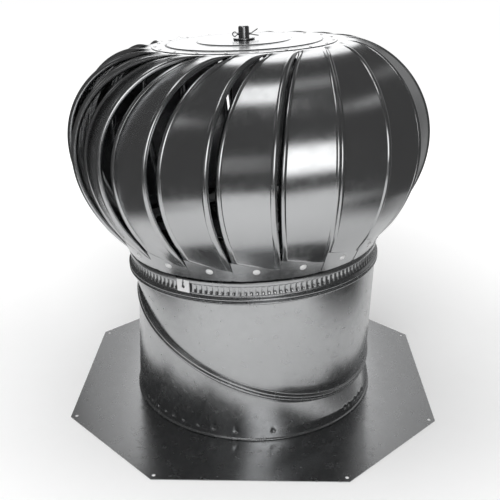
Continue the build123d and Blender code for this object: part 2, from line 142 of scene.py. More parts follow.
class VentSizes(bpy.types.PropertyGroup):
    """Sizes of the small formed details"""
    bead_radius: length("Bead radius", 2.9, "Radius of the rolled bead on a vane's leading edge")
    bead_rise: length("Bead rise", 1.0, "How far that bead stands proud of the vane's panel")
    rib_radius: length("Rib radius", 2.9, "Radius of the rib along a vane's trailing edge")
    rib_rise: length("Rib rise", 1.9, "How far that rib stands proud of the vane's panel")
    flange_depth: length("Flange depth", 5.5, "Depth of the flange turned in behind the rib")
    seam_bead_radius: length("Seam bead radius", 1.9, "Rounding of the two beads of the swivel seam")
    crimp_depth: length("Crimp depth", 1.3, "Depth of the crimps round the throat ring")
    crimp_count: IntProperty(name="Crimps", description="Crimps round the throat ring", default=150, min=12)
    dimple_radius: length("Dimple radius", 3.2, "Radius of each clinch dimple at the collar's foot")
    dimple_depth: length("Dimple depth", 1.3, "Depth of each clinch dimple")
    rivet_radius: length("Rivet radius", 4.1, "Radius of the rivet heads on the vane tabs")
    cap_rivet_radius: length("Cap rivet radius", 2.0, "Radius of the small rivets round the cap")
    pin_radius: length("Cotter pin radius", 1.3, "Radius of the cotter pin's wire")


class VentFinishes(bpy.types.PropertyGroup):
    """Colours of the ventilator and the strengths of its studio"""
    aluminium: colour("Aluminium", "#B9BABB", "Mill-finish aluminium sheet")
    collar: colour("Collar sheet", "#B4B5B6", "Mill-finish sheet of the collars and flashing")
    galvanised: colour("Galvanised steel", "#A9ABAD", "Zinc-coated braces, hubs and tube")
    rivet: colour("Rivet", "#F1F1F1", "Soft aluminium of the rivets and clip")
    plated: colour("Plated steel", "#A6A7A8", "Zinc-plated shaft, washer and pin")
    rubber: colour("Bearing seal", "#1B1B1C", "Moulded nitrile seals of the bearing")
    acetal: colour("Acetal", "#E4E1D8", "Natural acetal of the lower bush")
    floor: colour("Floor", "#F4F4F4", "Plain pale studio floor")
    lamp_power: FloatProperty(name="Lamp power", description="Power of each large soft lamp",
                              default=8.2, min=0.0, unit="POWER")


# ---- frames of the part's own pieces ---------------------
joints = {joint["name"]: joint for joint in frame["joints"]}
TURRET_AXIS = Vector(joints["rotor_spin"]["axis"]).normalized()
SEAM_NORMAL = Vector(joints["base_swivel"]["axis"]).normalized()
SEAM_CENTRE = Vector(joints["base_swivel"]["pos_m"])
SEAM_HEADING = Vector((SEAM_NORMAL.x, SEAM_NORMAL.y, 0.0)).normalized()


def placed(origin, x_dir, z_dir):
    """Matrix that carries local X and Z to the given directions at origin."""
    z_axis = z_dir.normalized()
    x_axis = (x_dir - z_axis * x_dir.dot(z_axis)).normalized()
    turn = Matrix((x_axis, z_axis.cross(x_axis), z_axis)).transposed().to_4x4()
    return Matrix.Translation(origin) @ turn


BASE = placed(Vector((0, 0, 0)), SEAM_HEADING, Vector((0, 0, 1)))
SEAM = placed(SEAM_CENTRE, SEAM_HEADING, SEAM_NORMAL)
TURRET_FOOT = SEAM_CENTRE - TURRET_AXIS * SEAM_CENTRE.z
NECK = placed(TURRET_FOOT, SEAM_HEADING, TURRET_AXIS)
TURRET = placed(TURRET_FOOT, Vector((1, 0, 0)), TURRET_AXIS)


# ---- mesh helpers ----------------------------------------
def polar(azimuth, radius=1.0, height=0.0):
    """Point at an azimuth in degrees, or the level direction there."""
    return Vector((radius * cos(radians(azimuth)), radius * sin(radians(azimuth)), height))


def smoothstep(value):
    t = min(max(value, 0.0), 1.0)
    return t * t * (3 - 2 * t)


def rounded(path, radius, steps=5):
    """Path of (x, y) points with each inner corner replaced by an arc."""
    points = [path[0]]
    for before, corner, after in zip(path, path[1:], path[2:]):
        to_before = Vector(before) - Vector(corner)
        to_after = Vector(after) - Vector(corner)
        half_turn = (pi - to_before.angle(to_after)) / 2
        if half_turn < radians(4):
            points.append(corner)
            continue
        reach = min(radius * sin(half_turn) / cos(half_turn), to_before.length * 0.48, to_after.length * 0.48)
        start = Vector(corner) + to_before.normalized() * reach
        end = Vector(corner) + to_after.normalized() * reach
        for step in range(steps + 1):
            t = step / steps
            point = start * (1 - t) ** 2 + Vector(corner) * 2 * t * (1 - t) + end * t ** 2
            points.append((point.x, point.y))
    points.append(path[-1])
    return points


def inner_face(path):
    """The other face of a bent sheet, on the left of the path along its first face."""
    inner = []
    last = len(path) - 1
    for i, (x, y) in enumerate(path):
        before = path[max(i - 1, 0)]
        after = path[min(i + 1, last)]
        ahead = (after[0] - x, after[1] - y)
        first = (x - before[0], y - before[1]) if i > 0 else ahead
        second = ahead if i < last else first
        course = atan2(first[1], first[0])
        turn = (atan2(second[1], second[0]) - course + pi) % tau - pi
        middle = course + turn / 2 + pi / 2
        reach = SHEET / max(cos(turn / 2), 0.4)
        inner.append((x + reach * cos(middle), y + reach * sin(middle)))
    return inner


def sheet_loop(path):
    """Closed outline of a bent sheet, from the path along its first face."""
    return list(path) + inner_face(path)[::-1]


def tube_faces(loops, size, closed):
    """Quads between neighbouring loops of points, with both ends filled unless the tube closes on itself."""
    faces = []
    for i in range(loops if closed else loops - 1):
        for j in range(size):
            here, there = i * size, (i + 1) % loops * size
            k = (j + 1) % size
            faces.append((here + j, here + k, there + k, there + j))
    if not closed:
        last = (loops - 1) * size
        for j in range(size // 2 - 1):
            k = size - 1 - j
            faces.append((j, k, k - 1, j + 1))
            faces.append((last + j, last + j + 1, last + k - 1, last + k))
    return faces


def mesh_of(name, tubes, sharp_angle):
    """One mesh from (loops of points, closed) pairs, with outward normals and sharp edges by angle."""
    vertices = []
    faces = []
    for loops, closed in tubes:
        start = len(vertices)
        vertices += [point for loop in loops for point in loop]
        faces += [tuple(start + i for i in face) for face in tube_faces(len(loops), len(loops[0]), closed)]
    mesh = bpy.data.meshes.new(name)
    mesh.from_pydata(vertices, [], faces)
    cleaned = bmesh.new()
    cleaned.from_mesh(mesh)
    bmesh.ops.remove_doubles(cleaned, verts=cleaned.verts, dist=1e-6)
    bmesh.ops.recalc_face_normals(cleaned, faces=cleaned.faces)
    cleaned.to_mesh(mesh)
    cleaned.free()
    mesh.shade_smooth()
    mesh.set_sharp_from_angle(angle=radians(sharp_angle))
    return mesh


def new_object(name, data):
    piece = bpy.data.objects.new(name, data)
    bpy.context.scene.collection.objects.link(piece)
    return piece


def lathe_loops(path, place, segments, radius_shift=None):
    """Loops of a closed (radius, height) outline spun about the local Z of place."""
    loops = []
    for number in range(segments):
        angle = tau * number / segments
        loop = []
        for radius, height in path:
            shifted = radius + (radius_shift(angle, radius, height) if radius_shift else 0.0)
            loop.append(place @ Vector((shifted * cos(angle), shifted * sin(angle), height)))
        loops.append(loop)
    return loops


def turned_outline(hole, radius, low, high, edge):
    """Outline of a turned bar or washer whose outer edges are broken."""
    return [(hole, low), (radius - edge, low), (radius, low + edge), (radius, high - edge),
            (radius - edge, high), (hole, high)]


def wire_loops(route, radius, place, sides=12):
    """Loops of a round wire along a route in the XZ plane of place."""
    loops = []
    for i, point in enumerate(route):
        before = route[max(i - 1, 0)]
        after = route[min(i + 1, len(route) - 1)]
        beside = Vector((0, 1, 0))
        up = (after - before).normalized().cross(beside)
        loops.append([place @ (point + (beside * cos(tau * j / sides) + up * sin(tau * j / sides)) * radius)
                      for j in range(sides)])
    return loops


def finish_piece(piece, material, body, slot, *nodes):
    """Gives a piece its material and its body, and hides the nodes that it stands for. The slot is not used.
    """
    if not piece.data.materials:
        piece.data.materials.append(material)
    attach(piece, body)
    if nodes:
        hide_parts(*nodes)


def form_piece(name, tubes, material, body, slot, *nodes, sharp_angle=38.0):
    """Makes and finishes one piece of sheet, bar or wire."""
    finish_piece(new_object(name, mesh_of(name, tubes, sharp_angle)), material, body, slot, *nodes)


def coat(material, *names):
    """Gives nodes whose shape stays as it is their material."""
    for name in names:
        materials = frame["nodes"][name].data.materials
        materials.clear()
        materials.append(material)


def sizes():
    return bpy.context.scene.vent_sizes


def finishes():
    return bpy.context.scene.vent_finishes


# ---- materials -------------------------------------------
def add_node(tree, kind, settings=None, inputs=None):
    """Adds a node, sets its properties and fills or links its inputs."""
    node = tree.nodes.new(kind)
    for key, value in (settings or {}).items():
        setattr(node, key, value)
    for key, value in (inputs or {}).items():
        if isinstance(value, bpy.types.NodeSocket):
            tree.links.new(value, node.inputs[key])
        else:
            node.inputs[key].default_value = value
    return node


def new_material(name):
    material = bpy.data.materials.new(name)
    material.use_nodes = True
    material.node_tree.nodes.clear()
    return material, material.node_tree


def shade(tree, base, metallic, roughness, normal, **sockets):
    surface = add_node(tree, "ShaderNodeBsdfPrincipled",
                       inputs={"Base Color": base, "Metallic": metallic, "Roughness": roughness,
                               "Normal": normal, **sockets})
    show(tree, surface.outputs["BSDF"])


def show(tree, surface, kind="Material"):
    add_node(tree, f"ShaderNodeOutput{kind}", inputs={"Surface": surface})


def white_glow(tree, strength):
    return add_node(tree, "ShaderNodeEmission", inputs={"Color": (1, 1, 1, 1), "Strength": strength}
                    ).outputs["Emission"]


def own_place(tree, output="Object"):
    return add_node(tree, "ShaderNodeTexCoord").outputs[output]


def maths(tree, operation, first, second=0.0):
    return add_node(tree, "ShaderNodeMath", {"operation": operation}, {0: first, 1: second}).outputs["Value"]


def noise(tree, millimetres, stretch=(1, 1, 1), detail=2.0, shift=0.0):
    """Noise whose features are about millimetres across, stretched along the object's own axes."""
    scale = tuple(1 / (millimetres * MM * factor) for factor in stretch)
    mapping = add_node(tree, "ShaderNodeMapping", inputs={"Vector": own_place(tree), "Scale": scale})
    return add_node(tree, "ShaderNodeTexNoise", {"noise_dimensions": "4D"},
                    {"Vector": mapping.outputs["Vector"], "W": shift, "Scale": 1.0, "Detail": detail}
                    ).outputs["Fac"]


def per_piece(tree):
    """A number that differs from piece to piece."""
    return maths(tree, "MULTIPLY", add_node(tree, "ShaderNodeObjectInfo").outputs["Random"], 40.0)


def ranged(tree, value, low, high, start=0.3, end=0.7, curve="LINEAR"):
    """Carries start..end of a value to low..high."""
    return add_node(tree, "ShaderNodeMapRange", {"interpolation_type": curve},
                    {"Value": value, "From Min": start, "From Max": end, "To Min": low, "To Max": high}
                    ).outputs["Result"]


def bump(tree, height, millimetres, below=None):
    inputs = {"Height": height, "Distance": millimetres * MM, "Strength": 1.0}
    if below is not None:
        inputs["Normal"] = below
    return add_node(tree, "ShaderNodeBump", inputs=inputs).outputs["Normal"]


def tinted(tree, value, tone, spread):
    """Colour that wanders a little to both sides of a tone."""
    darker = tuple(c * (1 - spread) for c in tone)
    lighter = tuple(min(c * (1 + spread), 1.0) for c in tone)
    return add_node(tree, "ShaderNodeMix", {"data_type": "RGBA"},
                    {"Factor": value, "A": (*darker, 1.0), "B": (*lighter, 1.0)}).outputs["Result"]


def mill_finish_aluminium(name, tone, roughness, waviness):
    """Cold-rolled aluminium sheet, left as it came off the rolls.

    The polished rolls leave a bright skin whose reflections are soft-edged and nearly clear, with faint
    cloudy patches, and handling leaves the sheet very slightly wavy.
    """
    material, tree = new_material(name)
    shift = per_piece(tree)
    clouds = noise(tree, 38, detail=3.0, shift=shift)
    skin = ranged(tree, noise(tree, 9, detail=4.0, shift=shift), roughness * 0.85, roughness * 1.2)
    waves = bump(tree, noise(tree, 70, detail=0.0, shift=shift), waviness)
    grain = bump(tree, noise(tree, 1.4, stretch=(1, 1, 9), shift=shift), 0.004, waves)
    shade(tree, tinted(tree, clouds, tone, 0.05), 1.0, skin, grain)
    return material


def spangled_zinc(name):
    """Steel strip dipped in molten zinc and pressed: paler spangle patches on a dull grey skin."""
    material, tree = new_material(name)
    cells = add_node(tree, "ShaderNodeTexVoronoi", inputs={"Vector": own_place(tree), "Scale": 1 / (4 * MM)})
    colours = add_node(tree, "ShaderNodeSeparateColor", inputs={"Color": cells.outputs["Color"]})
    spangle = colours.outputs["Red"]
    rough = ranged(tree, spangle, 0.28, 0.44, 0.0, 1.0)
    tone = tinted(tree, spangle, finishes().galvanised, 0.1)
    shade(tree, tone, 1.0, rough, bump(tree, noise(tree, 1.2, detail=3.0), 0.02))
    return material


def bright_zinc(name):
    """Turned steel with bright zinc plating: clear highlights and faint turning marks round the axis."""
    material, tree = new_material(name)
    turning = noise(tree, 0.5, stretch=(8, 8, 1))
    tone = tinted(tree, noise(tree, 6), finishes().plated, 0.08)
    shade(tree, tone, 1.0, ranged(tree, turning, 0.2, 0.34), bump(tree, turning, 0.006))
    return material


def pressed_aluminium(name):
    """Soft aluminium, pressed and blasted: a pale satin skin whose fine pits scatter most of the light."""
    material, tree = new_material(name)
    tone = tinted(tree, noise(tree, 3), finishes().rivet, 0.04)
    shade(tree, tone, 0.45, ranged(tree, noise(tree, 0.8), 0.36, 0.5), bump(tree, noise(tree, 0.8), 0.01))
    return material


def nitrile_rubber(name):
    """Moulded nitrile seal: dark, matt and faintly mottled."""
    material, tree = new_material(name)
    tone = tinted(tree, noise(tree, 1.5), finishes().rubber, 0.2)
    shade(tree, tone, 0.0, 0.62, bump(tree, noise(tree, 0.6), 0.01), IOR=1.52)
    return material


def natural_acetal(name):
    """Machined acetal bush: waxy off-white with fine turning lines."""
    material, tree = new_material(name)
    tone = tinted(tree, noise(tree, 5), finishes().acetal, 0.03)
    shade(tree, tone, 0.0, 0.36, bump(tree, noise(tree, 0.5, stretch=(8, 8, 1)), 0.01), IOR=1.48)
    return material


def once(name, make, *details):
    """The material of that name, made on its first use."""
    return bpy.data.materials.get(name) or make(name, *details)


def vane_sheet():
    return once("mill_finish_aluminium_vane", mill_finish_aluminium, finishes().aluminium, 0.2, 0.1)


def collar_sheet():
    return once("mill_finish_aluminium_collar", mill_finish_aluminium, finishes().collar, 0.24, 0.22)


def flashing_sheet():
    return once("mill_finish_aluminium_flashing", mill_finish_aluminium, finishes().collar, 0.24, 0.12)


def steel_strip():
    return once("galvanised_steel", spangled_zinc)


def turned_steel():
    return once("bright_zinc_plated_steel", bright_zinc)


def satin_aluminium():
    return once("pressed_aluminium_rivet", pressed_aluminium)


# ---- collars and flashing --------------------------------
FINE_TURN = 720             # segments round the large shells
WALL_ROWS = 12              # rows of quads in a plain wall
DIMPLE_HEIGHT = 12.5 * MM
# degrees round from the front
DIMPLE_ANGLES = (-70.3, -66.2, -59.4, -55.5, -49.8, -44.1, -38.7, -32.8, -24.9, -17.0, -6.9, 9.9,
                 49.0, 52.2, 57.7, 61.7, 66.2, 84.0, 97.0, 108.0, 123.0, 136.0, 149.0, 163.0, 176.0,
                 189.0, 203.0, 217.0, 230.0, 243.0, 256.0, 271.0)


def skewed_shell(low_path, low_place, high_path, high_place, dent=None):
    """Closed loops of a shell whose two rims stand in planes that are not parallel."""
    loops = []
    sides = ((low_path, high_path), (inner_face(low_path), inner_face(high_path)))
    for number in range(FINE_TURN):
        azimuth = 360.0 * number / FINE_TURN
        faces = []
        for low, high in sides:
            lower = [low_place @ polar(azimuth, *point) for point in low]
            upper = [high_place @ polar(azimuth, *point) for point in high]
            rungs = [lower[-1].lerp(upper[0], row / WALL_ROWS) for row in range(1, WALL_ROWS)]
            face = lower + rungs + upper
            faces.append([dent(point) for point in face] if dent else face)
        loops.append(faces[0] + faces[1][::-1])
    return loops


def dimple_dent(point):
    """Presses the clinch dimples round the collar's foot into a point of its sheet."""
    radius = sizes().dimple_radius
    azimuth = degrees(atan2(point.y, point.x)) - FRONT
    for angle in DIMPLE_ANGLES:
        along = (azimuth - angle + 180) % 360 - 180
        distance = hypot(radians(along) * COLLAR_RADIUS, point.z - DIMPLE_HEIGHT)
        if distance < radius:
            depth = sizes().dimple_depth * (1 - (distance / radius) ** 2)
            return point - Vector((point.x, point.y, 0)).normalized() * depth
    return point


def foot_path():
    """Hem and round foot of the lower collar, from the flashing upwards."""
    hem_edge = COLLAR_RADIUS + FOOT_HEM_REACH
    low = 6.0 * MM
    path = rounded([(COLLAR_RADIUS + 0.4 * MM, FOOT_BASE), (hem_edge, FOOT_BASE + 0.3 * MM),
                    (hem_edge, FOOT_BASE + 1.9 * MM), (COLLAR_RADIUS, FOOT_BASE + 2.7 * MM),
                    (COLLAR_RADIUS, low)], 0.8 * MM)
    return path + [(COLLAR_RADIUS, low + (FOOT_HEIGHT - low) * row / WALL_ROWS)
                   for row in range(1, WALL_ROWS + 1)]


def seam_beads():
    """Outer faces of the two rolled beads of the swivel seam, in the seam's own frame."""
    crest = SEAM_RADIUS + SEAM_BEAD_REACH
    lower = rounded([(SEAM_RADIUS, -SEAM_BEAD_HEIGHT - SEAM_NECK), (SEAM_RADIUS, -SEAM_BEAD_HEIGHT),
                     (crest, -SEAM_BEAD_HEIGHT), (crest, -SLIP_GAP), (SEAM_RADIUS + SLIP_GAP, -SLIP_GAP)],
                    sizes().seam_bead_radius, 6)
    return lower, [(radius, -height) for radius, height in lower[::-1]]


class VENT_OT_flashing(bpy.types.Operator):
    """Finish the flashing plate and its upstand"""
    bl_idname = "vent.flashing"
    bl_label = "Flashing"

    def execute(self, context):
        coat(flashing_sheet(), "flashing_plate")
        return {"FINISHED"}


class VENT_OT_lower_collar(bpy.types.Operator):
    """Roll the lower collar with its hem, clinch dimples and seam bead"""
    bl_idname = "vent.lower_collar"
    bl_label = "Lower collar"

    def execute(self, context):
        loops = skewed_shell(foot_path(), BASE, seam_beads()[0], SEAM, dimple_dent)
        form_piece("lower_collar_shell", [(loops, True)], collar_sheet(), "base",
                   "mill_finish_aluminium", "lower_collar")
        return {"FINISHED"}


class VENT_OT_upper_collar(bpy.types.Operator):
    """Roll the upper collar with its seam bead and the two beads of its neck"""
    bl_idname = "vent.upper_collar"
    bl_label = "Upper collar"

    def execute(self, context):
        neck = [(NECK_RADIUS, NECK_START)]
        for number in range(NECK_BEAD_COUNT):
            low = NECK_START + NECK_BEAD_START + number * NECK_BEAD_PITCH
            crest = low + NECK_BEAD_SLOPE
            neck += [(NECK_RADIUS, low), (NECK_RADIUS + NECK_BEAD_REACH, crest),
                     (NECK_RADIUS + NECK_BEAD_REACH, crest + NECK_BEAD_CREST),
                     (NECK_RADIUS, crest + NECK_BEAD_CREST + NECK_BEAD_SLOPE)]
        neck.append((NECK_RADIUS, NECK_HEIGHT))
        loops = skewed_shell(seam_beads()[1], SEAM, rounded(neck, 1.6 * MM, 4), NECK)
        form_piece("upper_collar_shell", [(loops, True)], collar_sheet(), "turret",
                   "mill_finish_aluminium", "upper_collar")
        return {"FINISHED"}


class VENT_OT_throat_ring(bpy.types.Operator):
    """Spin the throat ring and press its band of crimps"""
    bl_idname = "vent.throat_ring"
    bl_label = "Throat ring"

    def execute(self, context):
        spigot = NECK_RADIUS - SHEET - SLIP_GAP
        shoulder = NECK_RADIUS + SHOULDER_REACH
        path = rounded([(spigot, NECK_HEIGHT - THROAT_SPIGOT), (spigot, CRIMP_LOW), (NECK_RADIUS, CRIMP_LOW),
                        (NECK_RADIUS, CRIMP_LOW + 2.5 * MM), (NECK_RADIUS, CRIMP_LOW + 5.5 * MM),
                        (NECK_RADIUS, CRIMP_HIGH - 1.5 * MM), (NECK_RADIUS, CRIMP_HIGH),
                        (shoulder, CRIMP_HIGH + 0.8 * MM), (shoulder, CRIMP_HIGH + 5.0 * MM),
                        (THROAT_WALL_RADIUS, SHOULDER_TOP), (THROAT_WALL_RADIUS, THROAT_TOP)], 1.0 * MM, 4)
        count = sizes().crimp_count
        depth = sizes().crimp_depth
        band_low = CRIMP_LOW + 0.8 * MM
        band_high = CRIMP_HIGH - 0.6 * MM

        def crimp(angle, radius, height):
            if not band_low < height < band_high or radius < NECK_RADIUS - 1.5 * MM:
                return 0.0
            edge = min(height - band_low, band_high - height) / (1.2 * MM)
            wave = 0.5 - 0.5 * tanh(CRIMP_STEEPNESS * sin(count * angle)) / tanh(CRIMP_STEEPNESS)
            return -depth * wave * smoothstep(edge)

        loops = lathe_loops(sheet_loop(path), TURRET, count * CRIMP_SEGMENTS, crimp)
        form_piece("throat_ring_shell", [(loops, True)], collar_sheet(), "turret",
                   "mill_finish_aluminium", "throat_ring")
        return {"FINISHED"}


class VENT_OT_clip(bpy.types.Operator):
    """Cut and set the keyhole clip on the throat ring"""
    bl_idname = "vent.clip"
    bl_label = "Keyhole clip"

    def execute(self, context):
        hole, slot = 2.3 * MM, 1.5 * MM
        hole_height = CLIP_LOW + 6.4 * MM
        mouth = 40      # half the angle that the keyhole's round end leaves open, degrees
        corner = 0.8 * MM
        side = CLIP_WIDTH / 2
        outline = [(side, CLIP_LOW + corner), (side, CLIP_TOP), (slot, CLIP_TOP)]
        outline += [(hole * sin(a), hole_height + hole * cos(a))
                    for a in [radians(mouth + (360 - 2 * mouth) * i / 14) for i in range(15)]]
        outline += [(-slot, CLIP_TOP), (-side, CLIP_TOP), (-side, CLIP_LOW + corner),
                    (corner - side, CLIP_LOW), (side - corner, CLIP_LOW)]
        curve = bpy.data.curves.new("throat_clip_outline", "CURVE")
        curve.dimensions = "2D"
        curve.fill_mode = "BOTH"
        curve.extrude = SHEET / 2
        curve.bevel_depth = 0.12 * MM
        spline = curve.splines.new("POLY")
        spline.points.add(len(outline) - 1)
        for point, (x, y) in zip(spline.points, outline):
            point.co = (x, y, 0, 1)
        spline.use_cyclic_u = True
        cut = new_object("throat_clip_cut", curve)
        mesh = bpy.data.meshes.new_from_object(cut.evaluated_get(bpy.context.evaluated_depsgraph_get()))
        bpy.data.objects.remove(cut)
        mesh.name = "throat_clip_plate"
        seat = polar(CLIP_AZIMUTH, NECK_RADIUS + SHOULDER_REACH + LAP_GAP + SHEET / 2)
        mesh.transform(TURRET @ placed(seat, polar(CLIP_AZIMUTH + 90), polar(CLIP_AZIMUTH)))
        finish_piece(new_object("throat_clip_plate", mesh), satin_aluminium(), "turret",
                     "galvanised_steel", "throat_clip")
        return {"FINISHED"}


# ---- vanes -----------------------------------------------
CONE_RUN = RING_TOP_RADIUS - RING_LOW_RADIUS
CONE_RISE = RING_TOP - RING_LOW
CONE_SLANT = hypot(CONE_RUN, CONE_RISE)
CONE_LAP = (SHEET + LAP_GAP) * CONE_SLANT / CONE_RISE
FOLD_HEIGHT = RING_TOP + 0.5 * MM
FOLD_DROP = 13.0 * MM       # how much lower the fold runs at the leading edge
VANE_TOP = CAP_HEIGHT - LAP_GAP
TAB_SWEEP = PITCH - 0.25
TAB_LIFT = 0.5 * MM         # how far a tab's trailing side stands off the ring
VANE_OPENING = 1.7          # degrees by which a vane is narrower at the equator
VANE_BOW = 3.7              # degrees by which its middle bows forward
VANE_INSET = 14.0 * MM      # how far its trailing edge stands inside the leading one
VANE_STATIONS = 84

# shares of a vane's length, from its fold to its end under the cap
BOW_END = 0.92              # where its bow and inset have run out
FLAT_SHARE = 0.1            # that lies flat under the cap
FOLD_SHARE = 0.3            # over which the sloping fold's drop fades out
ROOT_SHARE = 0.06           # over which the panel leaves the tab's cone
RELIEF_GROWTH = 0.07        # over which bead, rib and flange grow from the fold
RELIEF_HELD = 0.82          # up to which they keep their full depth
RELIEF_FADE = 0.12          # over which they then fade out
LEAST_RELIEF = 0.1          # of their depth that stays at the two ends
BOW_FULLNESS = 0.6          # the lower, the fuller the bow near a vane's two ends
FOLD_FADE = 2.2             # the higher, the sooner the fold's drop fades
ROOT_LIFT = 0.15 * MM
BEAD_START = 300.0          # how far round the bead's rolled end stands, degrees


def cone_radius(height):
    """Radius of the tabs' outer face, which laps the vane ring's cone."""
    return RING_LOW_RADIUS + CONE_LAP + (height - RING_LOW) * CONE_RUN / CONE_RISE


def reach_at(radius):
    """How far along its own plane a vane's leading edge lies when it is radius from the spin axis."""
    return sqrt(radius ** 2 - EDGE_OFFSET ** 2)


EQUATOR_REACH = reach_at(EQUATOR_RADIUS)
FOLD_REACH = reach_at(cone_radius(FOLD_HEIGHT + SHEET))
FLAT_REACH = reach_at(CAP_RADIUS + CROWN_REACH)
END_REACH = reach_at(VANE_END_RADIUS)
CROWN_DEPTH = EQUATOR_REACH - FLAT_REACH
BELLY_ANGLE = asin((EQUATOR_HEIGHT - FOLD_HEIGHT) / BELLY_DROP)
BELLY_DEPTH = (EQUATOR_REACH - FOLD_REACH) / (1 - cos(BELLY_ANGLE))
FOLD_AZIMUTH = degrees(atan2(EDGE_OFFSET, FOLD_REACH))


def edge_point(s):
    """(reach, height) of a vane's leading edge, s from 0 at the fold to 1 under the cap."""
    if s > 1 - FLAT_SHARE:
        t = (s - 1 + FLAT_SHARE) / FLAT_SHARE
        return FLAT_REACH + (END_REACH - FLAT_REACH) * t, VANE_TOP
    angle = -BELLY_ANGLE + (BELLY_ANGLE + pi / 2) * s / (1 - FLAT_SHARE)
    if angle < 0:
        return EQUATOR_REACH - BELLY_DEPTH * (1 - cos(angle)), EQUATOR_HEIGHT + BELLY_DROP * sin(angle)
    return FLAT_REACH + CROWN_DEPTH * cos(angle), EQUATOR_HEIGHT + (VANE_TOP - EQUATOR_HEIGHT) * sin(angle)


def vane_profile(width):
    """Outer face of the panel's section as (along, out): bead at 0, flat panel, rib and flange at width."""
    bead, bead_rise = sizes().bead_radius, sizes().bead_rise
    rib, rib_rise = sizes().rib_radius, sizes().rib_rise
    bead_meets = asin((bead - bead_rise) / bead)
    turn = radians(BEAD_START) - bead_meets
    path = [(bead + bead * cos(a), bead_rise - bead + bead * sin(a))
            for a in (radians(BEAD_START) - turn * i / 14 for i in range(15))]
    rib_meets = pi - asin((rib - rib_rise) / rib)
    centre = width - rib
    start = centre + rib * cos(rib_meets) - 0.6 * MM
    first = path[-1][0] + 0.6 * MM
    path += [(first + (start - first) * i / 6, 0.0) for i in range(7)]
    path += [(centre + rib * cos(a), rib_rise - rib + rib * sin(a))
             for a in (rib_meets * (1 - i / 12) for i in range(13))]
    path += [(width, rib_rise - rib - (sizes().flange_depth - rib + rib_rise) * i / 2) for i in (1, 2)]
    return path


def vane_loop(s):
    """Closed loop of points round the vane's section at s, in the upright head's frame."""
    step = 1e-3
    low = edge_point(max(s - step, 0.0))
    high = edge_point(min(s + step, 1.0))
    reach, height = edge_point(s)
    radius = hypot(reach, EDGE_OFFSET)
    bow = sin(pi * s / BOW_END) ** BOW_FULLNESS if 0 < s < BOW_END else 0.0
    azimuth = degrees(asin(EDGE_OFFSET / radius)) + VANE_BOW * bow
    rise = high[1] - low[1]
    run = hypot(high[0], EDGE_OFFSET) - hypot(low[0], EDGE_OFFSET)
    slope = hypot(rise, run)
    dropping = (1 - min(s / FOLD_SHARE, 1.0)) ** FOLD_FADE
    fold_low = FOLD_HEIGHT - FOLD_DROP
    outer_radius = radius + (cone_radius(fold_low) - cone_radius(FOLD_HEIGHT)) * dropping
    outer = polar(azimuth, outer_radius, height - FOLD_DROP * dropping)
    inset = VANE_INSET * bow
    left_azimuth = azimuth - TAB_SWEEP + VANE_OPENING * bow
    inner = polar(left_azimuth, radius - inset * rise / slope, height + inset * run / slope)
    across = (inner - outer).normalized()
    along = polar((azimuth + left_azimuth) / 2, run / slope, rise / slope)
    inward = across.cross(along).normalized()
    width = (inner - outer).length
    relief = smoothstep(s / RELIEF_GROWTH) * (1 - smoothstep((s - RELIEF_HELD) / RELIEF_FADE))
    relief = LEAST_RELIEF + (1 - LEAST_RELIEF) * relief
    loop = []
    for distance, out in sheet_loop(vane_profile(width)):
        flat = outer + across * distance - inward * out * relief
        if s < ROOT_SHARE:
            share = min(max(distance / width, 0.0), 1.0)
            fold = fold_low + FOLD_DROP * share
            settled = polar(azimuth + (left_azimuth - azimuth) * share, cone_radius(fold) + ROOT_LIFT, fold)
            settled -= inward * out * relief
            flat = settled.lerp(flat, smoothstep(s / ROOT_SHARE))
        loop.append(flat)
    return loop


def tab_loops():
    """Closed loops of the vane's tab, from its leading side to its trailing side."""
    loops = []
    columns = 24
    rows = 6
    for column in range(columns + 1):
        share = column / columns
        azimuth = FOLD_AZIMUTH - TAB_SWEEP * share
        top = FOLD_HEIGHT - FOLD_DROP * (1 - share)
        corner = 1.2 * MM * max(0.0, 1 - min(column, columns - column) / 1.5)
        heights = [RING_LOW + corner + (top - RING_LOW - corner) * row / rows for row in range(rows + 1)]
        lift = TAB_LIFT * share
        faces = [[polar(azimuth, cone_radius(z) + lift - back, z) for z in heights]
                 for back in (0.0, SHEET * CONE_SLANT / CONE_RISE)]
        loops.append(faces[0] + faces[1][::-1])
    return loops


class VENT_OT_vanes(bpy.types.Operator):
    """Form the swept vanes with their beads, ribs and tabs"""
    bl_idname = "vent.vanes"
    bl_label = "Vanes"

    def execute(self, context):
        blade = [vane_loop(number / VANE_STATIONS) for number in range(VANE_STATIONS + 1)]
        mesh = mesh_of("vane_sheet", [(blade, False), (tab_loops(), False)], 38.0)
        tab_azimuth = FOLD_AZIMUTH - TAB_SWEEP / 2
        for number in range(VANE_COUNT):
            turn = radians(FIRST_RIVET - tab_azimuth + number * PITCH)
            name = f"vane_{number + 1:02d}"
            piece = new_object(f"{name}_sheet", mesh)
            piece.matrix_world = TURRET @ Matrix.Rotation(turn, 4, "Z")
            finish_piece(piece, vane_sheet(), "rotor", "mill_finish_aluminium", name)
        return {"FINISHED"}


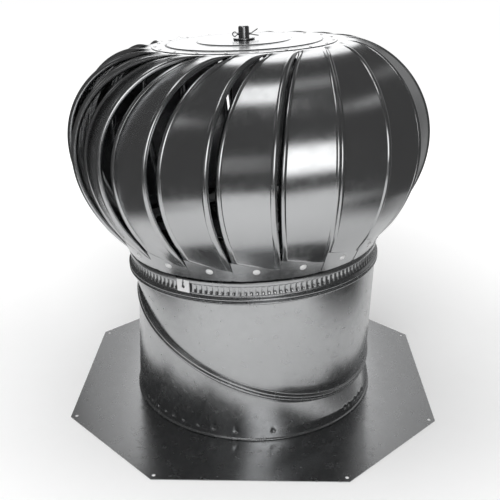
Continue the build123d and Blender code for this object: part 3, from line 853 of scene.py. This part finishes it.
class VENT_OT_rivets(bpy.types.Operator):
    """Set the rivets through the vane tabs"""
    bl_idname = "vent.rivets"
    bl_label = "Tab rivets"

    def execute(self, context):
        radius = sizes().rivet_radius
        outline = rounded([(0.0, 1.5 * MM), (radius * 0.62, 1.35 * MM), (radius, 0.45 * MM),
                           (radius, LAP_GAP)], 1.2 * MM, 4) + [(0.0, LAP_GAP)]
        height = (RING_LOW + RING_TOP) / 2
        tubes = []
        for number in range(VANE_COUNT):
            azimuth = FIRST_RIVET + number * PITCH
            facing = polar(azimuth, CONE_RISE / CONE_SLANT, -CONE_RUN / CONE_SLANT)
            seat = placed(polar(azimuth, cone_radius(height), height), Vector((0, 0, 1)), facing)
            tubes.append((lathe_loops(outline, TURRET @ seat, 28), True))
        form_piece("ring_rivet_heads", tubes, satin_aluminium(), "rotor",
                   "rivet_aluminium", "ring_rivets")
        return {"FINISHED"}


class VENT_OT_cap(bpy.types.Operator):
    """Spin the stepped cap disc and set its small rivets"""
    bl_idname = "vent.cap"
    bl_label = "Cap disc"

    def execute(self, context):
        top = CAP_HEIGHT + SHEET
        path = [(CAP_RADIUS, top)]
        for step in CAP_STEPS:
            radius = CAP_RADIUS - step
            path += [(radius + 6.0 * MM, top), (radius, top), (radius - 2.2 * MM, top + CAP_STEP_RISE),
                     (radius - 8.0 * MM, top + CAP_STEP_RISE)]
            top += CAP_STEP_RISE
        path.append((SHAFT_RADIUS + 1.5 * MM, top))
        loops = lathe_loops(sheet_loop(rounded(path, 2.5 * MM, 5)), TURRET, 240)
        form_piece("cap_disc_sheet", [(loops, True)], vane_sheet(), "rotor", "mill_finish_aluminium",
                   "cap_disc", sharp_angle=60.0)
        radius = sizes().cap_rivet_radius
        head = rounded([(0.0, 0.8 * MM), (radius * 0.7, 0.7 * MM), (radius, LAP_GAP)], 0.8 * MM, 3)
        head.append((0.0, LAP_GAP))
        tubes = []
        for number in range(VANE_COUNT):
            spot = polar(PITCH / 2 + number * PITCH, CAP_RADIUS - 4.5 * MM, CAP_HEIGHT + SHEET)
            tubes.append((lathe_loops(head, TURRET @ Matrix.Translation(spot), 14), True))
        form_piece("cap_rivet_heads", tubes, satin_aluminium(), "rotor", "rivet_aluminium")
        return {"FINISHED"}


class VENT_OT_shaft_end(bpy.types.Operator):
    """Turn the shaft and fit the washer and cotter pin on its end"""
    bl_idname = "vent.shaft_end"
    bl_label = "Shaft, washer and pin"

    def execute(self, context):
        shaft = turned_outline(0.0, SHAFT_RADIUS, SHAFT_BOTTOM, SHAFT_TOP, 1.2 * MM)
        form_piece("centre_shaft_bar", [(lathe_loops(shaft, TURRET, 64), True)], turned_steel(), "turret",
                   "galvanised_steel", "centre_shaft")
        low = CAP_TOP + SLIP_GAP
        high = low + WASHER_THICKNESS
        washer = turned_outline(SHAFT_RADIUS + RUNNING_GAP, WASHER_RADIUS, low, high, 0.3 * MM)
        form_piece("cap_washer_ring", [(lathe_loops(washer, TURRET, 48), True)], turned_steel(), "turret",
                   "bright_steel", "cap_washer")
        wire = sizes().pin_radius
        eye = PIN_EYE_RADIUS
        reach = SHAFT_RADIUS + SLIP_GAP + wire
        place = TURRET @ Matrix.Translation((0, 0, high + SLIP_GAP + eye + wire))
        tubes = []
        for side, splay in zip((1, -1), PIN_LEG_SPLAYS):
            gap = side * wire / 2
            route = [Vector((-reach - eye - eye * cos(a), 0, eye * sin(a) * side))
                     for a in (radians(100 * i / 8) for i in range(9))]
            bend = Vector((reach + 0.6 * MM, 0, gap))
            leg = Vector((cos(radians(splay)), 0, sin(radians(splay)))) * PIN_LEG_LENGTH
            route += [Vector((-reach, 0, gap)), Vector((reach * 0.9, 0, gap)), bend, bend + leg]
            tubes.append((wire_loops(route, wire / 2, place), False))
        form_piece("cotter_pin_wire", tubes, turned_steel(), "turret", "bright_steel", "cotter_pin")
        return {"FINISHED"}


class VENT_OT_inner_works(bpy.types.Operator):
    """Finish the braces, hubs, bearing tube and rings inside the head"""
    bl_idname = "vent.inner_works"
    bl_label = "Inner works"

    def execute(self, context):
        braces = [f"{level}_brace_{number}" for level in ("upper", "lower") for number in (1, 2, 3)]
        coat(steel_strip(), "upper_hub", "lower_hub", "bearing_tube", "hub_screws", "set_collar", *braces)
        coat(collar_sheet(), "vane_ring", "crown_ring")
        coat(turned_steel(), "bearing_inner_race", "bearing_outer_race")
        coat(once("moulded_nitrile_rubber", nitrile_rubber), "bearing_shields")
        coat(once("machined_natural_acetal", natural_acetal), "lower_bush")
        return {"FINISHED"}


# ---- stage -----------------------------------------------
CAMERA_FOCAL_PIXELS = 767.3
FRAME_PIXELS = 500
CAMERA_BACK = 920.3 * MM
CAMERA_SIDE = -4.5 * MM
CAMERA_HEIGHT = 565.1 * MM
CAMERA_PITCH = 22.49
CAMERA_ROLL = -0.15
CAMERA_TURN = 1.31

FLOOR_SIDE = 12.0
FLOOR_HEIGHT = -0.2 * MM
FLOOR_GLOW_START = 0.22     # distance from the centre up to which the floor doesn't glow
FLOOR_GLOW_END = 1.3
FLOOR_GLOW = 0.6            # strength from there on
AIR_STRENGTH = 0.45
LAMP_AIM = Vector((0, 0, 0.25))
BOOTH_LEFT, BOOTH_RIGHT, BOOTH_FRONT, BOOTH_BACK, BOOTH_TOP = -0.55, 0.55, -0.86, 1.06, 1.6
BOOTH_STRENGTH = 0.085

# name, place, side of the square, share of the lamp power
LAMPS = (("key_softbox", (-0.1, -1.0, 1.2), 0.5, 1.0),
         ("left_softbox", (-1.3, 0.0, 1.5), 0.9, 0.9),
         ("right_softbox", (1.3, 0.2, 1.5), 0.9, 0.6),
         ("top_softbox", (-0.1, 0.5, 2.0), 1.1, 0.8))

# name, centre, facing, width, height, brightness, feather
CARDS = (("front_softbox", (0.18, -0.84, 0.48), (0, 1, 0), 0.56, 0.56, 2.3, 0.3),
         ("overhead_softbox", (-0.43, -0.16, 1.58), (0, 0, -1), 0.6, 0.62, 1.9, 0.2),
         ("overhead_grey_card", (0.05, -0.02, 1.57), (0, 0, -1), 0.5, 0.5, 0.4, 0.4),
         ("front_overhead_softbox", (-0.16, -0.62, 1.56), (0, 0, -1), 0.4, 0.36, 2.4, 0.15),
         ("back_softbox", (-0.02, 1.02, 0.94), (0, -1, 0), 0.68, 0.96, 1.8, 0.1),
         ("back_grey_card", (0.06, 1.04, 0.52), (0, -1, 0), 1.5, 1.1, 0.5, 0.05),
         ("front_grey_card", (-0.39, -0.84, 0.44), (0, 1, 0), 0.4, 0.34, 0.34, 0.35),
         # the two floor cards are dim patches seen only in reflections: painted shade of the floor beside the
         # collars
         ("right_floor_card", (0.50, -0.12, 0.002), (0, 0, 1), 0.36, 0.74, 0.09, 0.35),
         ("left_floor_card", (-0.56, -0.05, 0.002), (0, 0, 1), 0.38, 0.86, 0.09, 0.35),
         ("left_small_card", (-0.54, -0.16, 0.7), (1, 0, 0), 0.2, 0.16, 0.7, 0.3),
         ("right_small_card", (0.54, -0.28, 0.97), (-1, 0, 0), 0.24, 0.24, 0.5, 0.3),
         ("right_grey_card", (0.54, 0.62, 0.5), (-1, 0, 0), 1.0, 1.1, 0.33, 0.14))


def sampled_by_reflection(material):
    """Light that only reflections find needs no lamp samples of its own, which leaves less grain."""
    material.cycles.emission_sampling = "NONE"
    return material


def card_material(name, brightness, feather):
    """Studio card of even brightness whose edges fade out, seen only in reflections."""
    material, tree = new_material(name)
    split = add_node(tree, "ShaderNodeSeparateXYZ", inputs={"Vector": own_place(tree, "Generated")})
    fades = []
    for axis in ("X", "Y"):
        distance = maths(tree, "ABSOLUTE", maths(tree, "SUBTRACT", split.outputs[axis], 0.5))
        fades.append(ranged(tree, distance, 1.0, 0.0, 0.5 - feather, 0.5, "SMOOTHSTEP"))
    clear = add_node(tree, "ShaderNodeBsdfTransparent")
    mixed = add_node(tree, "ShaderNodeMixShader",
                     inputs={0: maths(tree, "MULTIPLY", *fades), 1: clear.outputs["BSDF"],
                             2: white_glow(tree, brightness)})
    show(tree, mixed.outputs["Shader"])
    return sampled_by_reflection(material)


def only_reflected(piece):
    """Leaves a piece of the studio visible in reflections alone."""
    for rays in ("camera", "diffuse", "transmission", "shadow"):
        setattr(piece, f"visible_{rays}", False)


def rectangle(name, width, depth, height, material):
    """Level rectangle round the origin."""
    mesh = bpy.data.meshes.new(name)
    corners = ((-1, -1), (1, -1), (1, 1), (-1, 1))
    mesh.from_pydata([(x * width / 2, y * depth / 2, height) for x, y in corners], [], [(0, 1, 2, 3)])
    mesh.materials.append(material)
    return new_object(name, mesh)


def hang_card(name, centre, facing, width, height, brightness, feather):
    """Flat upright or level card whose face looks along facing; width runs level."""
    piece = rectangle(name, width, height, 0.0, card_material(name, brightness, feather))
    level = Vector((-facing[1], facing[0], 0)) if facing[2] == 0 else Vector((1, 0, 0))
    piece.matrix_world = placed(Vector(centre), level, Vector(facing))
    only_reflected(piece)


class VENT_OT_stage(bpy.types.Operator):
    """Lay the floor, hang the lamps and cards, and set the camera"""
    bl_idname = "vent.stage"
    bl_label = "Stage"

    def execute(self, context):
        scene = context.scene
        scene.view_settings.view_transform = "Standard"
        self.lay_floor()
        self.fill_world(scene)
        self.hang_lamps()
        self.stand_booth()
        for card in CARDS:
            hang_card(*card)
        self.set_camera(scene)
        return {"FINISHED"}

    def lay_floor(self):
        """Pale floor that the camera sees fade to white away from the object."""
        material, tree = new_material("pale_studio_floor")
        paint = tinted(tree, noise(tree, 30), finishes().floor, 0.01)
        matt = add_node(tree, "ShaderNodeBsdfDiffuse", inputs={"Color": paint})
        path = add_node(tree, "ShaderNodeLightPath")
        away = add_node(tree, "ShaderNodeVectorMath", {"operation": "LENGTH"}, {0: own_place(tree)})
        rising = ranged(tree, away.outputs["Value"], 0.0, FLOOR_GLOW, FLOOR_GLOW_START, FLOOR_GLOW_END)
        lift = maths(tree, "MULTIPLY", path.outputs["Is Camera Ray"], rising)
        both = add_node(tree, "ShaderNodeAddShader",
                        inputs={0: matt.outputs["BSDF"], 1: white_glow(tree, lift)})
        show(tree, both.outputs["Shader"])
        rectangle("studio_floor", FLOOR_SIDE, FLOOR_SIDE, FLOOR_HEIGHT, material)

    def fill_world(self, scene):
        """White air, at less than full strength where it lights matt surfaces."""
        world = bpy.data.worlds.new("studio_air")
        world.use_nodes = True
        tree = world.node_tree
        tree.nodes.clear()
        path = add_node(tree, "ShaderNodeLightPath").outputs
        seen = maths(tree, "MAXIMUM", path["Is Camera Ray"], path["Is Glossy Ray"])
        through = maths(tree, "MAXIMUM", seen, path["Is Transmission Ray"])
        strength = ranged(tree, through, AIR_STRENGTH, 1.0, 0.0, 1.0)
        air = add_node(tree, "ShaderNodeBackground", inputs={"Color": (1, 1, 1, 1), "Strength": strength})
        show(tree, air.outputs["Background"], "World")
        scene.world = world

    def hang_lamps(self):
        for name, place, side, share in LAMPS:
            lamp = bpy.data.lights.new(name, "AREA")
            lamp.shape = "SQUARE"
            lamp.size = side
            lamp.energy = finishes().lamp_power * share
            piece = new_object(name, lamp)
            aim = (LAMP_AIM - Vector(place)).to_track_quat("-Z", "Y")
            piece.matrix_world = Matrix.Translation(place) @ aim.to_matrix().to_4x4()
            piece.visible_glossy = False

    def stand_booth(self):
        """Dark booth round the object, open at the floor."""
        mesh = bpy.data.meshes.new("dark_booth")
        corners = ((BOOTH_LEFT, BOOTH_FRONT), (BOOTH_RIGHT, BOOTH_FRONT),
                   (BOOTH_RIGHT, BOOTH_BACK), (BOOTH_LEFT, BOOTH_BACK))
        mesh.from_pydata([(x, y, z) for z in (0.0, BOOTH_TOP) for x, y in corners], [],
                         [(0, 1, 5, 4), (1, 2, 6, 5), (2, 3, 7, 6), (3, 0, 4, 7), (4, 5, 6, 7)])
        material, tree = new_material("dark_booth")
        show(tree, white_glow(tree, BOOTH_STRENGTH))
        mesh.materials.append(sampled_by_reflection(material))
        only_reflected(new_object("dark_booth", mesh))

    def set_camera(self, scene):
        data = bpy.data.cameras.new("studio_camera")
        data.sensor_width = 36.0
        data.lens = CAMERA_FOCAL_PIXELS / FRAME_PIXELS * data.sensor_width
        data.clip_start = 0.05
        camera = new_object("studio_camera", data)
        turn = Matrix.Rotation(radians(CAMERA_TURN), 4, "Z")
        tilt = Matrix.Rotation(radians(90 - CAMERA_PITCH), 4, "X")
        roll = Matrix.Rotation(radians(CAMERA_ROLL), 4, "Z")
        stand = Matrix.Translation((CAMERA_SIDE, -CAMERA_BACK, CAMERA_HEIGHT))
        camera.matrix_world = turn @ stand @ tilt @ roll
        scene.camera = camera


class VENT_PT_panel(bpy.types.Panel):
    """Lists the ventilator's pieces, sizes and finishes"""
    bl_idname = "VENT_PT_panel"
    bl_label = "Roof Turbine Ventilator"
    bl_space_type = "VIEW_3D"
    bl_region_type = "UI"
    bl_category = "Ventilator"

    def draw(self, context):
        for operator in OPERATORS:
            self.layout.operator(operator.bl_idname)
        for group in (sizes(), finishes()):
            box = self.layout.box()
            for name in group.bl_rna.properties.keys():
                if name not in ("rna_type", "name"):
                    box.prop(group, name)


OPERATORS = (VENT_OT_flashing, VENT_OT_lower_collar, VENT_OT_upper_collar, VENT_OT_throat_ring,
             VENT_OT_clip, VENT_OT_vanes, VENT_OT_rivets, VENT_OT_cap, VENT_OT_shaft_end,
             VENT_OT_inner_works, VENT_OT_stage)
CLASSES = (VentSizes, VentFinishes, *OPERATORS, VENT_PT_panel)


def register():
    for item in CLASSES:
        bpy.utils.register_class(item)
    bpy.types.Scene.vent_sizes = PointerProperty(type=VentSizes)
    bpy.types.Scene.vent_finishes = PointerProperty(type=VentFinishes)


def unregister():
    del bpy.types.Scene.vent_finishes
    del bpy.types.Scene.vent_sizes
    for item in reversed(CLASSES):
        bpy.utils.unregister_class(item)


def main():
    register()
    for operator in OPERATORS:
        getattr(bpy.ops.vent, operator.bl_idname.split(".")[1])()


if __name__ == "__main__":
    main()
